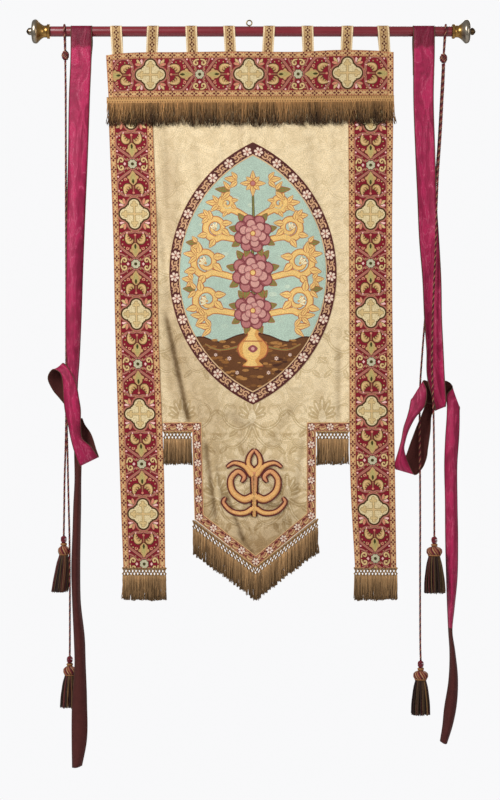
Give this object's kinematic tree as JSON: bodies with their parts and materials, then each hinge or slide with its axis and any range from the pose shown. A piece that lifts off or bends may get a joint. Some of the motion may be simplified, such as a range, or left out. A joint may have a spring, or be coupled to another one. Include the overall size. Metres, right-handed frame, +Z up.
{
  "type": "church banner on a pole",
  "caption": "Cream damask church banner with woven bands, an almond-shaped embroidered field, a pointed foot and fringes, tabbed to a lacquered pole with knotted ribbons and tasselled cords.",
  "frame": {"origin": "centre of the screw eye that the banner hangs from", "axes": "+Z up, +X to the right along the pole as seen from the front, the embroidered front faces -Y"},
  "size_m": [1.2594, 0.0922, 2.0897],
  "materials": {
    "lacquered_wood": "dark red lacquer, glossy",
    "turned_brass": "turned and worn",
    "eye_metal": "dulled wire",
    "tab_ribbon": "narrow woven ribbon",
    "woven_band": "patterned band, satin ground with gold figures",
    "bullion_fringe": "cut bullion yarn",
    "damask": "cream damask, tone on tone",
    "flower_braid": "braid with small flowers",
    "embroidery": "needlework with couched outlines",
    "gold_applique": "applied silk with a corded edge",
    "net_fringe": "knotted net heading and cut yarn",
    "silk": "crimson silk with piped edges",
    "twisted_cord": "three-strand twist",
    "tassel_yarn": "turned head and cut skirt"
  },
  "bodies": {
    "root": {"pole": "lacquered_wood", "finial_left": "turned_brass", "finial_right": "turned_brass", "hanging_eye": "eye_metal", "tab_1": "tab_ribbon", "tab_2": "tab_ribbon", "tab_3": "tab_ribbon", "tab_4": "tab_ribbon", "tab_5": "tab_ribbon", "tab_6": "tab_ribbon", "tab_7": "tab_ribbon", "tab_8": "tab_ribbon", "header_band": "woven_band", "header_fringe": "bullion_fringe", "panel": "damask", "side_band_left": "woven_band", "side_band_right": "woven_band", "mandorla_border": "flower_braid", "mandorla_picture": "embroidery", "lower_braid": "flower_braid", "emblem": "gold_applique", "ledge_fringe_left": "net_fringe", "ledge_fringe_right": "net_fringe", "tongue_fringe": "net_fringe", "band_fringe_left": "net_fringe", "band_fringe_right": "net_fringe", "ribbon_left": "silk", "ribbon_right": "silk", "cord_loop_left": "twisted_cord", "cord_loop_right": "twisted_cord", "cord_left_short": "twisted_cord", "cord_left_long": "twisted_cord", "cord_right_short": "twisted_cord", "cord_right_long": "twisted_cord", "tassel_left_short": "tassel_yarn", "tassel_left_long": "tassel_yarn", "tassel_right_short": "tassel_yarn", "tassel_right_long": "tassel_yarn"}
  },
  "joints": []
}
